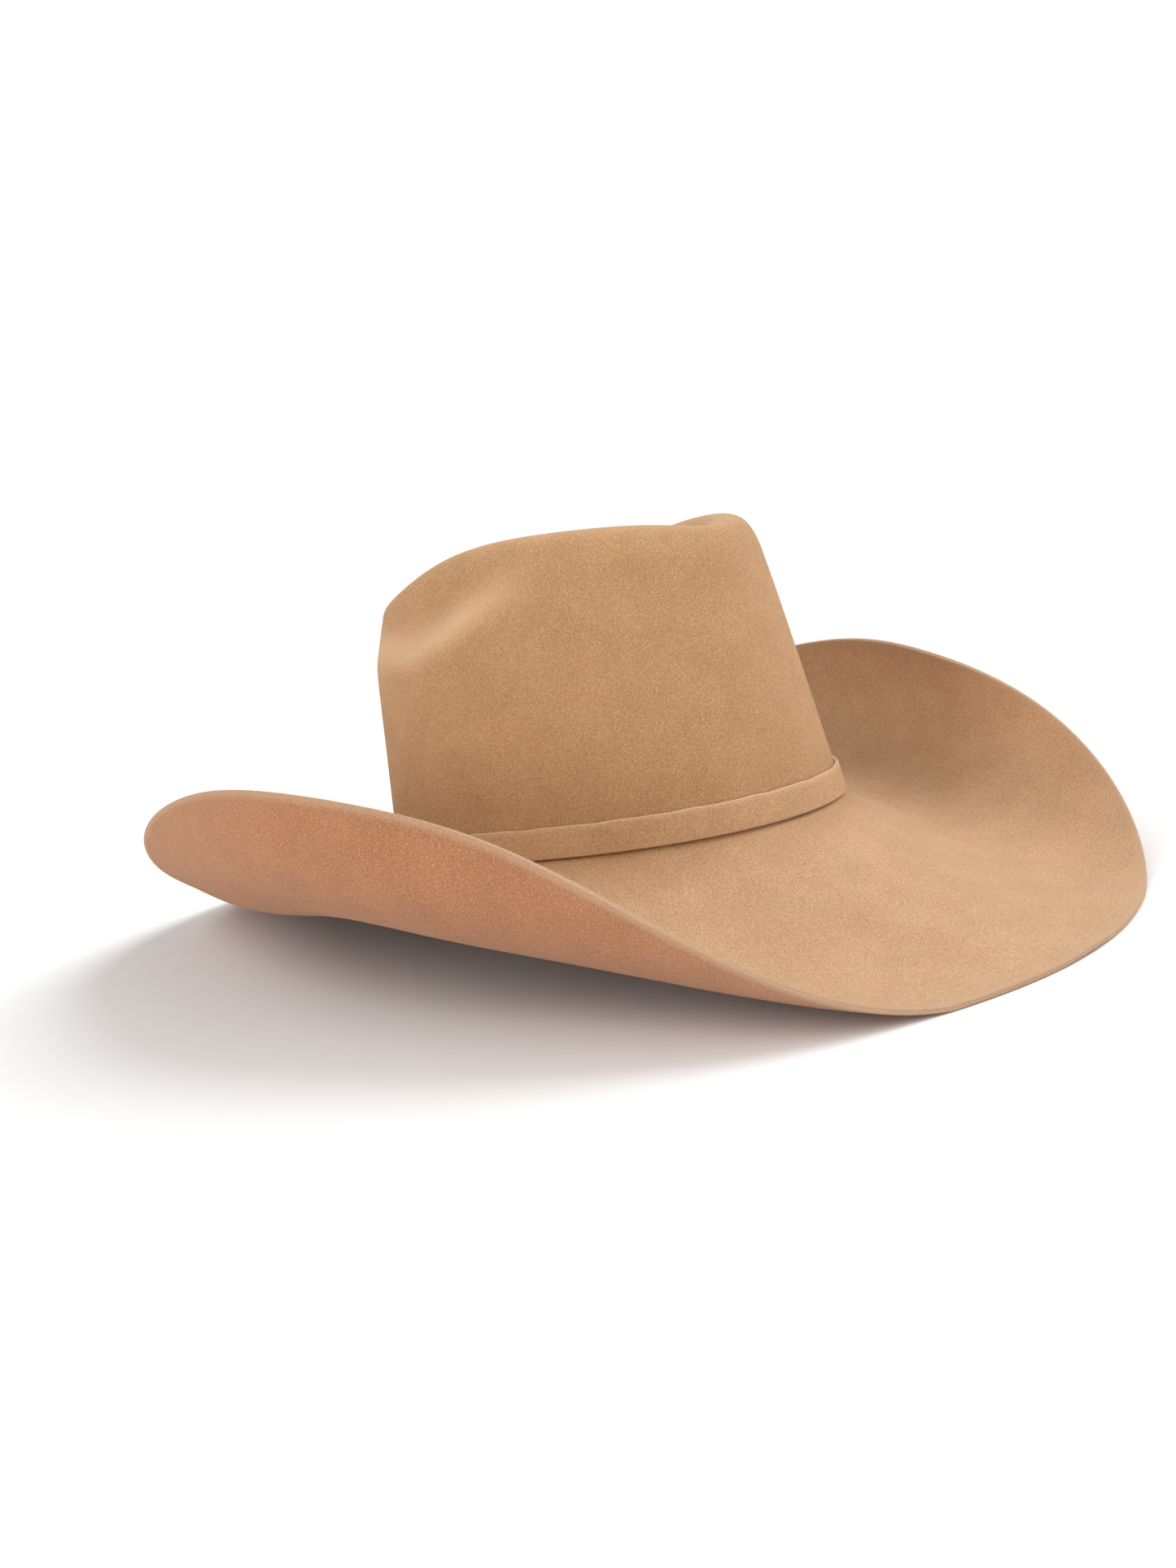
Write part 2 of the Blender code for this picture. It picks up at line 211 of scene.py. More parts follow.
@dataclass(frozen=True)
class HatForm:
    """The blocked form of the hat: its sizes and the surface that follows from them."""

    head_length: float = 0.191
    head_width: float = 0.172
    oval_fullness: float = 0.025
    oval_egg: float = 0.05
    felt: float = 0.0022
    crown_height: float = 0.1197
    crown_tilt: float = 4.9
    brim_width: float = 0.121
    brim_saddle: float = 0.0008
    rest_flat: float = 0.0010
    crease_front: float = 0.050
    crease_back: float = 0.052
    slope_steps: int = 120
    block_columns: int = 72
    block_crown_rows: int = 22
    block_brim_rows: int = 11
    level_passes: int = 6
    least_half_turn: float = 0.75

    def oval(self, bearing: Array) -> Array:
        """Plan points of the fold between crown and brim.

        Args:
            bearing: angles in radians.

        Returns:
            One point in plan per bearing.
        """
        swell = 1 + self.oval_fullness * np.sin(2 * bearing) ** 2
        across = -self.head_width / 2 * np.sin(bearing) * swell
        length = -self.head_length / 2 * np.cos(bearing) * swell
        across = across * (1 + self.oval_egg * length / (self.head_length / 2))
        return np.stack([across, length], -1)

    def oval_outward(self, bearing: Array) -> Array:
        """Unit plan directions pointing away from the oval.

        Args:
            bearing: angles in radians.

        Returns:
            One direction in plan per bearing.
        """
        step = 1e-4
        run = self.oval(bearing + step) - self.oval(bearing - step)
        outward = np.stack([run[:, 1], -run[:, 0]], -1)
        outward *= np.sign(np.sum(outward * self.oval(bearing), -1, keepdims=True))
        return unit(outward)

    def lean_back(self, points: Array) -> Array:
        """Tip points of the upright crown back about the middle of the oval.

        Args:
            points: points of the upright crown.

        Returns:
            The same points, tipped.
        """
        turn = math.radians(self.crown_tilt)
        x, y, z = points[..., 0], points[..., 1], points[..., 2]
        back = y * math.cos(turn) + z * math.sin(turn)
        up = z * math.cos(turn) - y * math.sin(turn)
        return np.stack([x, back, up], -1)

    def fold_drop(self, bearing: Array) -> Array:
        """How far the saddle lowers the fold at each bearing."""
        return self.brim_saddle * np.cos(2 * bearing)

    def crown_points(self, bearing: Array, samples: Array) -> Array:
        """Outer surface of the crown.

        Args:
            bearing: one section per bearing.
            samples: places from the fold, 0, to the crease, 1.

        Returns:
            Points as samples by bearings.
        """
        foot = self.oval(bearing)
        middle = (self.crease_back - self.crease_front) / 2
        half = (self.crease_back + self.crease_front) / 2
        crease = np.stack([0 * bearing, middle - half * np.cos(bearing)], -1)
        reach = np.linalg.norm(crease - foot, axis=-1)
        share = {name: along(CROWN_SECTIONS, name, bearing) * self.crown_height
                 for name in CrownSection._fields[1:]}
        wall, shoulder, dent = share["shoulder_in"], share["shoulder"], share["dent"]
        ridge_in, ridge, valley = share["ridge_in"], share["ridge"], share["valley"]
        rounding = share["rounding"]
        step = ridge_in - wall - dent
        profile = [(inward * wall, upward * shoulder) for inward, upward in WALL_GUIDE]
        profile.append((wall, shoulder))
        for inward, upward in DENT_GUIDE:
            profile.append((wall + dent + inward * step, shoulder + upward * (ridge - shoulder)))
        for inward, upward in RIDGE_GUIDE:
            profile.append((ridge_in + inward * rounding, ridge + upward * rounding))
        for inward, upward in BOWL_GUIDE:
            profile.append((ridge_in + inward * (reach - ridge_in), valley + upward * (ridge - valley)))
        controls = []
        for inward, height in profile:
            plan = foot + (crease - foot) * (inward / reach)[:, None]
            controls.append(np.concatenate([plan, height[:, None]], -1))
        points = self.lean_back(smooth_through(np.array(controls), samples))
        points[..., 2] -= self.fold_drop(bearing)
        return points

    def brim_points(self, bearing: Array, samples: Array, trim: float = 0.0) -> Array:
        """Upper surface of the brim.

        Args:
            bearing: one section per bearing.
            samples: places from the fold, 0, to the cut edge, 1.
            trim: length left off at the edge for a rounded rim.

        Returns:
            Points as samples by bearings.
        """
        foot = self.lean_back(np.concatenate([self.oval(bearing), 0 * bearing[:, None]], -1))
        foot[:, 2] -= self.fold_drop(bearing)
        width = along(BRIM_SECTIONS, "width", bearing) * self.brim_width
        curl = along(BRIM_SECTIONS, "curl", bearing)
        slopes = {}
        for end in ("root", "edge"):
            right = along(BRIM_SECTIONS, end + "_right", bearing)
            left = along(BRIM_SECTIONS, end + "_left", bearing)
            slopes[end] = np.radians(np.where(bearing >= 0, right, left))
        steps = np.linspace(0, 1, self.slope_steps + 1)
        middles = (steps[1:] + steps[:-1]) / 2
        turn = (slopes["edge"] - slopes["root"])[:, None]
        slope = slopes["root"][:, None] + turn * middles ** curl[:, None]
        stride = (width / self.slope_steps)[:, None]
        reach = np.pad(np.cumsum(np.cos(slope) * stride, 1), ((0, 0), (1, 0)))
        climb = np.pad(np.cumsum(np.sin(slope) * stride, 1), ((0, 0), (1, 0)))
        outward = self.oval_outward(bearing)
        rows = []
        for sample in samples:
            at = sample * (1 - trim / width)
            distance = np.array([np.interp(a, steps, line) for a, line in zip(at, reach)])
            rise = np.array([np.interp(a, steps, line) for a, line in zip(at, climb)])
            rows.append(foot + np.concatenate([outward * distance[:, None], rise[:, None]], -1))
        return np.array(rows)

    def normals(self, sheet: Array) -> tuple[Array, Array]:
        """Bisected normals of a sheet.

        Args:
            sheet: points as rows by columns, from the crease outwards.

        Returns:
            Unit normals, and the cosine of half the turn at each point.
        """
        around = np.roll(sheet, -1, axis=1) - np.roll(sheet, 1, axis=1)
        outward = sheet[1:] - sheet[:-1]
        above = np.cross(around, np.concatenate([outward, outward[-1:]]))
        below = np.cross(around, np.concatenate([outward[:1], outward]))
        mirror = (-np.arange(sheet.shape[1])) % sheet.shape[1]
        ends = np.flatnonzero(mirror == np.arange(sheet.shape[1]))
        above[0, ends] = above[1, ends]
        below[0, ends] = below[1, ends]
        above, below = unit(above), unit(below)
        above[0] = unit(above[0] + above[0][mirror])
        below[0] = above[0]
        normal = unit(above + below)
        return normal, np.maximum(np.sum(normal * above, -1, keepdims=True), self.least_half_turn)

    def placement(self) -> "Placement":
        """Where the blocked hat stands: levelled on its three feet and centred over its outline.

        Returns:
            The turn and the shift.
        """
        bearing = np.linspace(-np.pi, np.pi, self.block_columns, endpoint=False)
        crown = self.crown_points(bearing, np.linspace(1, 0, self.block_crown_rows + 1))
        brim = self.brim_points(bearing, np.linspace(0, 1, self.block_brim_rows + 1)[1:])
        upper = np.concatenate([crown, brim])
        normal, half_turn = self.normals(upper)
        lower = upper - normal * self.felt / half_turn
        turn = self.level_turn(lower.reshape(-1, 3))
        upper, lower = upper @ turn.T, lower @ turn.T
        floor = lower[..., 2].min() + self.rest_flat
        both = np.concatenate([upper, lower]).reshape(-1, 3)
        centre = (both.min(0) + both.max(0)) / 2
        centre[2] = floor
        return Placement(turn, centre)

    def level_turn(self, points: Array) -> Array:
        """Rotation that levels the lowest points at the front right, the front left and the back.

        Args:
            points: every point of the lower face.

        Returns:
            The rotation as three rows.
        """
        x, y = points[:, 0], points[:, 1]
        turn = np.eye(3)
        for _ in range(self.level_passes):
            turned = points @ turn.T
            feet = []
            for place in ((y < 0) & (x < 0), (y < 0) & (x > 0), y > 0):
                feet.append(turned[place][turned[place][:, 2].argmin()])
            normal = unit(np.cross(feet[1] - feet[0], feet[2] - feet[0]))
            a, b, c = normal * np.sign(normal[2])
            upright = np.array([[1 - a * a / (1 + c), -a * b / (1 + c), -a],
                                [-a * b / (1 + c), 1 - b * b / (1 + c), -b],
                                [a, b, c]])
            turn = upright @ turn
        return turn


@dataclass(frozen=True)
class Placement:
    """The turn and the shift that stand the blocked hat on the floor."""

    turn: Array
    centre: Array

    def put(self, points: Array) -> Array:
        """Points of the block, placed in the hat's own frame."""
        return points @ self.turn.T - self.centre


def new_mesh(name: str, points: Array, faces: Sequence[Sequence[int]], finish: bpy.types.Material,
             masks: dict[Mask, Array]) -> bpy.types.Object:
    """Make a smooth piece that rides on the hat.

    Args:
        name: the piece's name.
        points: its points.
        faces: point numbers of its faces.
        finish: its material.
        masks: one value per point for each attribute.

    Returns:
        The new object.
    """
    mesh = bpy.data.meshes.new(name)
    mesh.from_pydata(points.tolist(), [], faces)
    mesh.shade_smooth()
    for mask, values in masks.items():
        layer = mesh.attributes.new(mask.value, "FLOAT", "POINT")
        layer.data.foreach_set("value", np.asarray(values, dtype=np.float32))
    mesh.materials.append(finish)
    piece = bpy.data.objects.new(name, mesh)
    bpy.context.collection.objects.link(piece)
    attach(piece, "root")
    return piece


def ring_quads(rows: Sequence[Sequence[int]]) -> list[tuple[int, int, int, int]]:
    """Quads between neighbouring rows of point numbers, each row closed round the hat.

    Args:
        rows: point numbers, row by row outwards.

    Returns:
        Point numbers of each quad.
    """
    quads = []
    for inner, outer in zip(rows[:-1], rows[1:]):
        count = len(inner)
        for i in range(count):
            j = (i + 1) % count
            quads.append((inner[i], inner[j], outer[j], outer[i]))
    return quads


@dataclass
class FeltBody:
    """The felt body: crown and brim in one piece, with a rounded raw edge."""

    form: HatForm
    place: Placement
    columns: int = 240
    crown_rows: int = 92
    brim_rows: int = 54
    rim_depth: float = 0.0013
    rim_rows: int = 13
    rim_squareness: float = 0.60
    rim_groove: float = 0.00030
    tip_reach: float = 0.017
    tip_passes: int = 60
    sway: float = 0.00035
    sway_on_brim: float = 0.4
    sway_fades: Fades = (0.14, 0.30, 0.66, 0.78)
    shelf_heights: Fades = (0.058, 0.074, 0.104, 0.116)
    soft_bearings: Fades = (62.0, 84.0, 150.0, 168.0)
    pressed_bearings: Fades = (64.0, 90.0, 116.0, 142.0)
    # bearings where the painted highlight lies along the shelves
    shelf_highlight_bearings: Fades = (62.0, 88.0, 140.0, 168.0)
    rise_bearings: tuple[float, float] = (66.0, 112.0)
    shelf_back: float = 0.083
    shelf_rise: float = 0.022
    shelf_passes: int = 40
    shelf_swell: float = 0.0009
    shelf_hollow: float = 0.0012
    shelf_depth: float = 0.0070
    outer_from: float = 0.42
    groove_angle: float = 12.0
    rim_fade: float = 0.0009
    ridge_level: float = 0.70
    ridge_spread: float = 0.07
    upper: Array = field(init=False)
    lower: Array = field(init=False)
    normal: Array = field(init=False)

    def shape(self) -> None:
        """Work out both faces of the felt."""
        bearing = np.linspace(-np.pi, np.pi, self.columns, endpoint=False)
        crown = self.form.crown_points(bearing, np.linspace(1, 0, self.crown_rows + 1))
        brim = self.form.brim_points(bearing, np.linspace(0, 1, self.brim_rows + 1)[1:], self.rim_depth)
        sheet = self.soften_tips(np.concatenate([crown, brim]))
        sheet = self.soften_shelf(sheet, bearing)
        sheet = sheet + self.form.normals(sheet)[0] * self.hand_sway(bearing)[..., None]
        normal, half_turn = self.form.normals(sheet)
        upper = self.place.put(sheet)
        lower = self.place.put(sheet - normal * self.form.felt / half_turn)
        lift = np.maximum(-lower[..., 2], 0)
        upper[..., 2] += lift
        lower[..., 2] += lift
        self.upper, self.lower, self.normal = upper, lower, normal @ self.place.turn.T

    def soften_tips(self, sheet: Array) -> Array:
        """Round the two ends of the crease, where the sections crowd together.

        Args:
            sheet: points as rows by columns.

        Returns:
            The sheet, softened there.
        """
        mirror = (-np.arange(self.columns)) % self.columns
        reach = self.crown_rows // 2
        ends = [sheet[0, self.columns // 2], sheet[0, 0]]
        near = np.min([np.linalg.norm(sheet[:reach] - end, axis=-1) for end in ends], axis=0)
        weight = (1 - smoothstep(self.tip_reach * 0.4, self.tip_reach, near))[..., None]
        for _ in range(self.tip_passes):
            part = sheet[:reach]
            inner = np.concatenate([part[1][mirror][None], part[:-1]])
            outer = sheet[1:reach + 1]
            sides = (np.roll(part, 1, axis=1) + np.roll(part, -1, axis=1)) / 2
            mean = (inner + outer + sides * 2) / 4
            moved = part + (mean - part) * weight * 0.5
            moved[0] = (moved[0] + moved[0][mirror]) / 2
            sheet = np.concatenate([moved, sheet[reach:]])
        return sheet

    def shelf_line(self, turn: Array) -> Array:
        """Height of the shelf's middle, level beside the back and rising towards the front."""
        return self.shelf_back + self.shelf_rise * (1 - smoothstep(*self.rise_bearings, turn))

    def soften_shelf(self, sheet: Array, bearing: Array) -> Array:
        """Spread the dent in each side of the crown into a soft, broad shelf.

        Args:
            sheet: points as rows by columns.
            bearing: the columns' angles in radians.

        Returns:
            The sheet with its two shelves.
        """
        turn = np.abs(np.degrees(bearing))
        rows = np.arange(len(sheet))[:, None]
        outside = (rows > self.crown_rows * self.outer_from) & (rows <= self.crown_rows)
        within = plateau(self.shelf_heights, sheet[..., 2])
        weight = (within * plateau(self.soft_bearings, turn) * outside)[1:-1, :, None]
        for _ in range(self.shelf_passes):
            mean = (sheet[:-2] + sheet[2:]) / 2
            inner = sheet[1:-1] + (mean - sheet[1:-1]) * weight * 0.5
            sheet = np.concatenate([sheet[:1], inner, sheet[-1:]])
        pressed = plateau(self.pressed_bearings, turn) * outside
        above = (sheet[..., 2] - self.shelf_line(turn)) / self.shelf_depth
        swell, hollow = np.exp(-(above + 1) ** 2), np.exp(-(above - 1.1) ** 2)
        move = (self.shelf_swell * swell - self.shelf_hollow * hollow) * pressed
        return sheet + self.form.normals(sheet)[0] * move[..., None]

    def hand_sway(self, bearing: Array) -> Array:
        """Slight unevenness of felt shaped by hand, none at the band or on the edge.

        Args:
            bearing: the columns' angles in radians.

        Returns:
            How far each point moves outwards.
        """
        crown = np.linspace(1, 0, self.crown_rows + 1)[:, None]
        brim = np.linspace(0, 1, self.brim_rows + 1)[1:, None]
        wall = np.sin(3 * bearing + 1.1 + 4 * crown) * np.sin(9 * crown + 0.7) \
            + 0.6 * np.sin(7 * bearing - 0.4 - 6 * crown)
        wave = np.sin(5 * bearing + 0.6 + 5 * brim) * np.sin(6 * brim) \
            + 0.5 * np.sin(9 * bearing + 2.0 - 7 * brim)
        wall = wall * plateau(self.sway_fades, crown)
        wave = wave * smoothstep(0.08, 0.30, brim) * (1 - 0.6 * smoothstep(0.85, 1.0, brim))
        return self.sway * np.concatenate([wall, wave * self.sway_on_brim])

    def rim(self) -> Array:
        """Round the cut edge from the upper face over to the lower one.

        Returns:
            Points as rows by columns.
        """
        outward = unit(self.upper[-1] - self.upper[-2])
        middle = (self.upper[-1] + self.lower[-1]) / 2
        half = np.linalg.norm(self.upper[-1] - self.lower[-1], axis=-1, keepdims=True) / 2
        rows = []
        for angle in np.radians(np.linspace(90, -90, self.rim_rows + 2)[1:-1]):
            out = self.rim_depth * math.cos(angle) ** self.rim_squareness
            out -= self.rim_groove * math.exp(-(angle / math.radians(self.groove_angle)) ** 2)
            rise = math.copysign(abs(math.sin(angle)) ** self.rim_squareness, angle)
            rows.append(middle + outward * out + self.normal[-1] * half * rise)
        return np.array(rows)

    def build(self, finish: bpy.types.Material) -> bpy.types.Object:
        """Make the body's mesh and its masks.

        Args:
            finish: the felt it is made of.

        Returns:
            The body, which stands for its plain solid.
        """
        points: list[Array] = []
        faces: list[tuple[int, ...]] = []
        edges = []
        masks = {mask: [] for mask in Mask}
        count = 0
        for side, under_shade in ((self.upper, 0.0), (self.lower, 1.0)):
            crease = list(range(count, count + self.columns // 2 + 1))
            rows = [[crease[min(i, self.columns - i)] for i in range(self.columns)]]
            count += len(crease)
            for _ in side[1:]:
                rows.append(list(range(count, count + self.columns)))
                count += self.columns
            points.append(side[0][:self.columns // 2 + 1])
            points.append(side[1:].reshape(-1, 3))
            band = self.side_masks(under_shade)
            for mask in Mask:
                masks[mask].append(band[mask][0][:self.columns // 2 + 1])
                masks[mask].append(band[mask][1:].reshape(-1))
            faces.extend(ring_quads(rows) if under_shade == 0.0 else
                         [quad[::-1] for quad in ring_quads(rows)])
            edges.append(rows[-1])
        rim = self.rim()
        rim_rows = []
        for line in rim:
            rim_rows.append(list(range(count, count + self.columns)))
            count += self.columns
            points.append(line)
        turn = np.linspace(0, 1, len(rim))
        masks[Mask.RIM].append(np.ones(rim.shape[:2]).reshape(-1))
        # the lower half of the rim takes the painted under shade
        masks[Mask.UNDER_SHADE].append(np.repeat(smoothstep(0.45, 1.0, turn), self.columns))
        for mask in (Mask.SHELF_HIGHLIGHT_AND_RUB, Mask.FOOT_SHADE):
            masks[mask].append(np.zeros(rim.shape[:2]).reshape(-1))
        masks[Mask.BRIM_HIGHLIGHT].append(np.ones(rim.shape[:2]).reshape(-1))
        faces.extend(ring_quads([edges[0], *rim_rows, edges[1]]))
        values = {mask: np.concatenate(parts) for mask, parts in masks.items()}
        piece = new_mesh("felt_body", np.concatenate(points), faces, finish, values)
        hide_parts("crown_and_brim")
        LOG.info("felt_body: %d points, %d faces", count, len(faces))
        return piece

    def side_masks(self, under_shade: float) -> dict[Mask, Array]:
        """Work out the masks of one face of the felt.

        Args:
            under_shade: 1 for the lower face, 0 for the upper one.

        Returns:
            Each mask as rows by columns.
        """
        shape = self.upper.shape[:2]
        edge = np.linalg.norm(self.upper - self.upper[-1], axis=-1)
        rim = 1 - smoothstep(0.0, self.rim_fade, edge)
        rim[:self.crown_rows + 1] = 0
        level = np.linspace(1, 0, self.crown_rows + 1)
        # a weaker pale band of rubbed nap round the crown
        ridge = np.exp(-((level - self.ridge_level) / self.ridge_spread) ** 2)
        ridge = np.concatenate([ridge, np.zeros(self.brim_rows)])[:, None] * np.ones(shape)
        turn = np.abs(np.linspace(-180.0, 180.0, self.columns, endpoint=False))
        above = (self.upper[..., 2] + self.place.centre[2] - self.shelf_line(turn)) / self.shelf_depth
        beside = plateau(self.shelf_highlight_bearings, turn)
        rows = np.arange(shape[0])[:, None]
        outer = smoothstep(self.crown_rows * self.outer_from, self.crown_rows * 0.5, rows)
        # painted highlight along the middle of each shelf
        shelf = np.exp(-above ** 2) * beside * outer
        ridge = np.maximum(ridge * 0.4, shelf)
        # painted shade in the fold between crown and brim, on both faces
        fold = np.abs(np.arange(shape[0]) - self.crown_rows)[:, None] * np.ones(shape)
        foot = 1 - smoothstep(0.0, 14.0, fold)
        # the brim, whose upper face takes the paler painted highlight colour
        brim = smoothstep(-2.0, 8.0, np.arange(shape[0]) - self.crown_rows)[:, None] * np.ones(shape)
        return {Mask.RIM: rim, Mask.UNDER_SHADE: np.full(shape, under_shade), Mask.SHELF_HIGHLIGHT_AND_RUB: ridge * (1 - under_shade),
                Mask.FOOT_SHADE: foot, Mask.BRIM_HIGHLIGHT: brim}


@dataclass
class HatBand:
    """The narrow band of the same felt round the foot of the crown, its ends lapped."""

    form: HatForm
    place: Placement
    height: float = 0.0115
    felt: float = 0.0016
    lift: float = 0.0007
    gap: float = 0.0003
    lap: float = 0.022
    lap_bearing: float = -100.0
    lap_ramp: float = 0.008
    columns: int = 420
    corner: float = 0.00045
    corner_steps: int = 3
    face_steps: int = 6
    seat_share: float = 0.4
    seat_samples: int = 120
    girth_steps: int = 144
    edge_sway: float = 0.00012
    edges: Array = field(init=False)

    def outline(self) -> list[tuple[float, float]]:
        """Walk round the strip's cross-section.

        Returns:
            Pairs of a height and an outward distance, in metres.
        """
        inset, rounds = self.corner, []
        centres = ((self.height - inset, self.felt - inset, 90), (self.height - inset, inset, 180),
                   (inset, inset, 270), (inset, self.felt - inset, 360))
        for level, out, start in centres:
            for k in range(self.corner_steps + 1):
                angle = math.radians(start - 90 + 90 * k / self.corner_steps)
                rounds.append((level + inset * math.sin(angle), out + inset * math.cos(angle)))
            if start in (180, 360):
                first, side = rounds[-1]
                last = inset if start == 180 else self.height - inset
                for k in range(1, self.face_steps):
                    share = k / self.face_steps
                    rounds.append((first + (last - first) * share, side))
        return rounds

    def build(self, finish: bpy.types.Material) -> bpy.types.Object:
        """Make the band's mesh.

        Args:
            finish: the felt it is cut from.

        Returns:
            The band, which stands for its plain solid.
        """
        circuit = self.form.oval(np.linspace(0, 2 * np.pi, self.girth_steps + 1))
        girth = np.sum(np.linalg.norm(np.diff(circuit, axis=0), axis=-1))
        lap, ramp = self.lap / girth * 2 * np.pi, self.lap_ramp / girth * 2 * np.pi
        end = math.radians(self.lap_bearing)
        bearing = np.linspace(end - 2 * np.pi - lap, end, self.columns)
        climb = smoothstep(0.0, 1.0, (bearing - (end - lap - ramp)) / ramp)
        inner = self.gap + climb * (self.felt + self.gap)
        wrapped = (bearing + np.pi) % (2 * np.pi) - np.pi
        outward = self.form.oval_outward(wrapped)
        outward = self.form.lean_back(np.concatenate([outward, 0 * wrapped[:, None]], -1))
        wall = self.form.crown_points(wrapped, np.linspace(0, self.seat_share, self.seat_samples))
        heights = np.sum((wall - wall[0]) * self.form.lean_back(np.array([0.0, 0.0, 1.0])), -1)
        sway = self.edge_sway * (np.sin(23 * wrapped) + 0.7 * np.sin(41 * wrapped + 1.0))
        rings = []
        for level, out in self.outline():
            seat = np.empty((self.columns, 3))
            for i in range(self.columns):
                at = self.lift + level + sway[i] * (level / self.height)
                for axis in range(3):
                    seat[i, axis] = np.interp(at, heights[:, i], wall[:, i, axis])
            rings.append(seat + outward * (inner + out)[:, None])
        rings = self.place.put(np.array(rings))
        around = len(rings)
        points = np.moveaxis(rings, 0, 1).reshape(-1, 3)
        rows = [[i * around + k for k in range(around)] for i in range(self.columns)]
        faces: list[tuple[int, ...]] = list(ring_quads(rows))
        faces.append(tuple(reversed(rows[0])))
        faces.append(tuple(rows[-1]))
        level = np.array([pair[0] for pair in self.outline()]) / self.height
        side = 1 - smoothstep(0.0, 0.09, np.minimum(level, 1 - level))
        rim = np.tile(side, self.columns)
        rim[-around:] = 1
        zero = np.zeros(len(points))
        # the band's lower edge takes the painted foot shade
        masks = {Mask.RIM: rim, Mask.UNDER_SHADE: zero, Mask.SHELF_HIGHLIGHT_AND_RUB: zero, Mask.BRIM_HIGHLIGHT: zero,
                 Mask.FOOT_SHADE: np.tile(1 - smoothstep(0.0, 0.25, level), self.columns)}
        piece = new_mesh("felt_band", points, faces, finish, masks)
        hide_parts("hat_band")
        LOG.info("felt_band: %d points, %d faces", len(points), len(faces))
        self.edges = np.moveaxis(points.reshape(self.columns, around, 3), 1, 0)
        return piece


@dataclass
class LooseWool:
    """Single fibres that stand off the felt, as short curved blades."""

    seed: int = 11
    root_width: float = 0.00006
    root_depth: float = 0.00003
    clearance: float = 0.00005
    bend_at: float = 0.55
    bend_width: float = 0.7
    droop: float = 0.35
    swing: float = 0.9
    stray: float = 0.55
    least_lift: float = 0.12
    more_lift: float = 0.5
    bases: list[Array] = field(default_factory=list)

    def blades(self, roots: Array, lies: Array, normals: Array, low: float, high: float,
               rng: np.random.Generator) -> None:
        """Grow one blade from each root.

        Args:
            roots: where they start.
            lies: which way each leans, as unit vectors.
            normals: the felt's outward direction there.
            low: shortest length.
            high: longest length.
            rng: the seeded source of chance.
        """
        count = len(roots)
        length = (low + (high - low) * rng.random(count) ** 2)[:, None]
        across = unit(np.cross(lies, normals + 1e-6)) * self.root_width / 2
        droop = unit(rng.normal(size=(count, 3))) * self.droop
        middle = roots + lies * length * self.bend_at
        tip = roots + unit(lies + droop) * length
        narrow = across * self.bend_width
        self.bases.append(np.stack([roots - across, roots + across, middle + narrow,
                                    middle - narrow, tip], 1))

    def over_faces(self, sheet: Array, normals: Array, count: int, low: float, high: float) -> None:
        """Scatter blades evenly over a face of the felt, lying nearly flat.

        Args:
            sheet: points as rows by columns.
            normals: the outward direction at each point.
            count: how many blades.
            low: shortest length.
            high: longest length.
        """
        rng = np.random.default_rng(self.seed + len(self.bases))
        next_column = np.roll(sheet, -1, axis=1)
        around, outward = next_column[:-1] - sheet[:-1], sheet[1:] - sheet[:-1]
        area = np.linalg.norm(np.cross(around, outward), axis=-1)
        cell = rng.choice(area.size, size=count, p=(area / area.sum()).reshape(-1))
        row, column = np.unravel_index(cell, area.shape)
        u, v = rng.random(count)[:, None], rng.random(count)[:, None]
        start, beside = sheet[row, column], next_column[row, column]
        below, corner = sheet[row + 1, column], next_column[row + 1, column]
        roots = (start * (1 - u) + beside * u) * (1 - v) + (below * (1 - u) + corner * u) * v
        normal = unit(normals[row, column])
        swing = rng.normal(0.0, self.swing, count)[:, None]
        flat = unit(around[row, column]) * np.cos(swing) + unit(outward[row, column]) * np.sin(swing)
        lift = self.least_lift + self.more_lift * rng.random(count)[:, None] ** 2
        lies = unit(flat + normal * lift)
        self.blades(roots - normal * self.root_depth, lies, normal, low, high, rng)

    def along_rows(self, rows: Array, middle: Array, count: int, low: float, high: float) -> None:
        """Fringe closed rows of points with blades that stand away from a middle line.

        Args:
            rows: points as rows by columns.
            middle: one point per column.
            count: how many blades.
            low: shortest length.
            high: longest length.
        """
        rng = np.random.default_rng(self.seed + len(self.bases))
        row = rng.integers(0, len(rows), count)
        column = rng.random(count) * rows.shape[1]
        near = column.astype(int)
        far, share = (near + 1) % rows.shape[1], (column - near)[:, None]
        roots = rows[row, near] * (1 - share) + rows[row, far] * share
        core = middle[near] * (1 - share) + middle[far] * share
        outward = unit(roots - core)
        lies = unit(outward + rng.normal(0.0, self.stray, (count, 3)))
        self.blades(roots - outward * self.root_depth, lies, outward, low, high, rng)

    def build(self, name: str, finish: bpy.types.Material, slot: str) -> bpy.types.Object:
        """Make one piece of all the blades grown so far.

        Args:
            name: the piece's name.
            finish: its material.
            slot: not used.

        Returns:
            The new piece.
        """
        blades = np.concatenate(self.bases)
        blades[..., 2] = np.maximum(blades[..., 2], self.clearance)
        count = len(blades)
        faces: list[tuple[int, ...]] = []
        for i in range(0, count * 5, 5):
            faces.append((i, i + 1, i + 2, i + 3))
            faces.append((i + 3, i + 2, i + 4))
        zero = np.zeros(count * 5)
        piece = new_mesh(name, blades.reshape(-1, 3), faces, finish, {Mask.RIM: zero})
        LOG.info("%s: %d fibres", name, count)
        return piece


